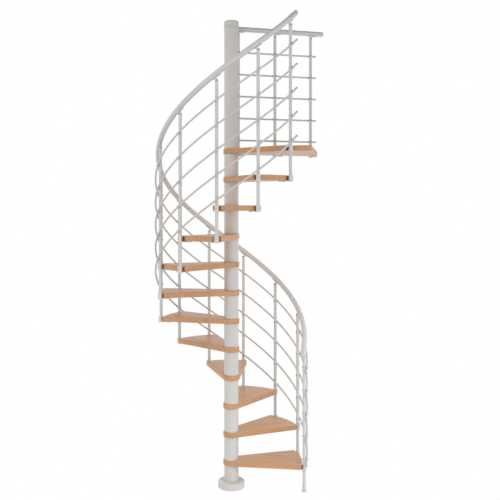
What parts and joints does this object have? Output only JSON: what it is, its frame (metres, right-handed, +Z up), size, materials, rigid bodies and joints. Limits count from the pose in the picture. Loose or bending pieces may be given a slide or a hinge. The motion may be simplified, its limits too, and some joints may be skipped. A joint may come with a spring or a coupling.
{
  "type": "spiral staircase",
  "caption": "Spiral staircase of one full turn: wooden wedge treads and landing on a round steel column, with posts, a round handrail and curved infill rods.",
  "frame": {"origin": "column axis at floor level, on the underside of the base plate", "axes": "+Z up along the column; +X through the first baluster, square to the landing's outer end"},
  "size_m": [1.3176, 1.2228, 3.7137],
  "materials": {
    "lacquered_beech": "clear satin lacquer on steamed beech, grain along the tread",
    "post_paint": "white satin powder coat",
    "column_paint": "white satin powder coat",
    "handrail_paint": "white satin powder coat",
    "rod_paint": "white satin powder coat",
    "clamp_paint": "white satin powder coat",
    "fitting_plastic": "light grey moulded plastic",
    "cap_plastic": "mid grey moulded plastic",
    "bare_steel": "zinc plated steel"
  },
  "bodies": {
    "root": {"tread_01": "lacquered_beech", "tread_02": "lacquered_beech", "tread_03": "lacquered_beech", "tread_04": "lacquered_beech", "tread_05": "lacquered_beech", "tread_06": "lacquered_beech", "tread_07": "lacquered_beech", "tread_08": "lacquered_beech", "tread_09": "lacquered_beech", "tread_10": "lacquered_beech", "tread_11": "lacquered_beech", "landing_platform": "lacquered_beech", "baluster_01": "post_paint", "baluster_02": "post_paint", "baluster_03": "post_paint", "baluster_04": "post_paint", "baluster_05": "post_paint", "baluster_06": "post_paint", "baluster_07": "post_paint", "baluster_08": "post_paint", "baluster_09": "post_paint", "baluster_10": "post_paint", "baluster_11": "post_paint", "baluster_12": "post_paint", "landing_posts": "post_paint", "baluster_foot": "post_paint", "column_spacers": "column_paint", "upper_column": "column_paint", "column_cap": "column_paint", "base_cover": "column_paint", "stair_handrail": "handrail_paint", "landing_handrail": "handrail_paint", "handrail_end_caps": "handrail_paint", "infill_rod_1": "rod_paint", "infill_rod_2": "rod_paint", "infill_rod_3": "rod_paint", "infill_rod_4": "rod_paint", "infill_rod_5": "rod_paint", "landing_rods": "rod_paint", "tread_clamps": "clamp_paint", "handrail_brackets": "clamp_paint", "rod_holders": "fitting_plastic", "rod_end_caps": "cap_plastic", "base_plate": "bare_steel", "center_pole": "bare_steel"}
  },
  "joints": []
}
